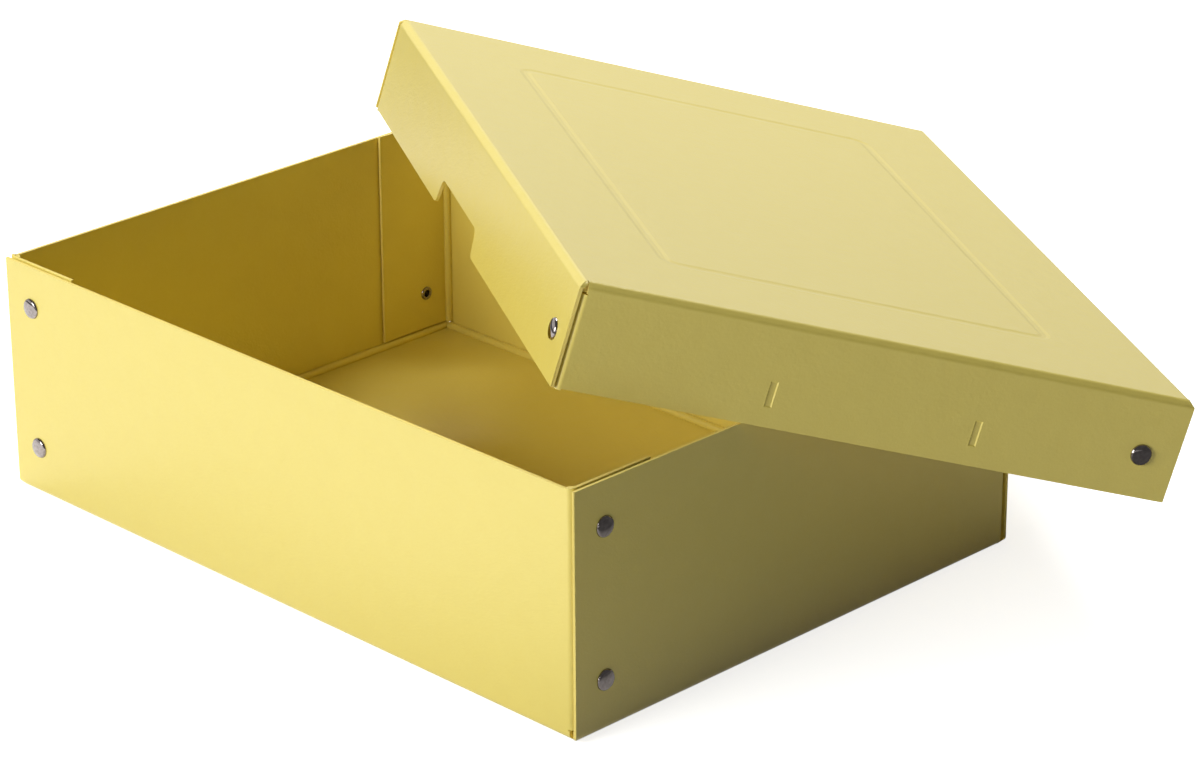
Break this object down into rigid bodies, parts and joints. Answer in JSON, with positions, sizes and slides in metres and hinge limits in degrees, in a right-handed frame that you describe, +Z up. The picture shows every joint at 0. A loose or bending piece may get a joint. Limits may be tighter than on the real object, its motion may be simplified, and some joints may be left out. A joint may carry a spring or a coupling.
{
  "type": "document box",
  "caption": "Shallow rectangular document box of folded solid board, riveted at the corners, with a telescoping lift-off lid that has finger notches and is laid aslant on the open base.",
  "frame": {"origin": "on the floor plane, under the middle of the base", "axes": "+Z up, +X along the base's long side, -Y out of the base's front wall"},
  "size_m": [0.4189, 0.4086, 0.1605],
  "materials": {
    "board": "smooth dyed board, satin",
    "rivet": "polished nickel plate"
  },
  "bodies": {
    "base": {"base_board": "board", "base_rivet_back_high": "rivet", "base_rivet_back_low": "rivet", "base_rivet_front_high": "rivet", "base_rivet_front_low": "rivet", "base_rivet_left_high": "rivet", "base_rivet_left_low": "rivet", "base_rivet_right_high": "rivet", "base_rivet_right_low": "rivet"},
    "lid": {"lid_board": "board", "lid_rivet_back": "rivet", "lid_rivet_front": "rivet", "lid_rivet_left": "rivet", "lid_rivet_right": "rivet"}
  },
  "joints": [
    {"name": "lid_lift", "type": "slide", "parent": "base", "child": "lid", "axis": [0, 0, 1], "range_m": [0, 0.15]}
  ]
}
